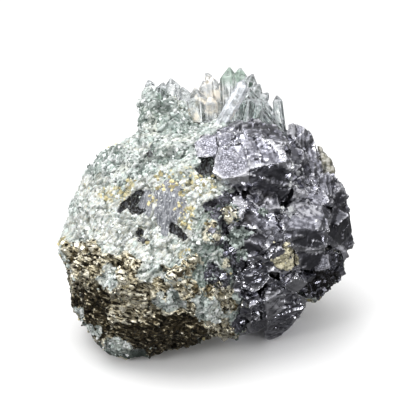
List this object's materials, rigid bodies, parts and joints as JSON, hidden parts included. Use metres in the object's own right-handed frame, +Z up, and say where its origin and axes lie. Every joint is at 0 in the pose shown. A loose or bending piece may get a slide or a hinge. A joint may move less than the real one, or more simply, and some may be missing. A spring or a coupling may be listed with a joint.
{
  "type": "galena specimen",
  "caption": "Cabinet mineral specimen: a knobbly chlorite rock with a brassy sulphide belt, a crust of dark galena crystals on one side and clear quartz points on its crown.",
  "frame": {"origin": "on the surface that the specimen rests on, below the middle of its bounding box", "axes": "+Z up; -Y toward the side that is shown, which leans back by about 22 degrees; +X to that side's right, where the galena is"},
  "size_m": [0.0808, 0.0732, 0.0697],
  "materials": {
    "chlorite_rock": "fine-grained, rough and dull pale grey-green, with bright brassy patches",
    "galena": "bright metallic lead-grey cleavage faces and steps, near black where they turn away",
    "quartz": "clear to slightly milky, glossy crystal faces",
    "calcite": "pale yellow-green, waxy and translucent"
  },
  "bodies": {
    "root": {"chlorite_rock": "chlorite_rock", "galena_crust": "galena", "quartz_cluster": "quartz", "quartz_point_1": "quartz", "quartz_point_2": "quartz", "quartz_leaning_prism": "quartz", "quartz_knob_point_1": "quartz", "quartz_knob_point_2": "quartz", "quartz_knob_point_3": "quartz", "calcite_beads": "calcite"}
  },
  "joints": []
}
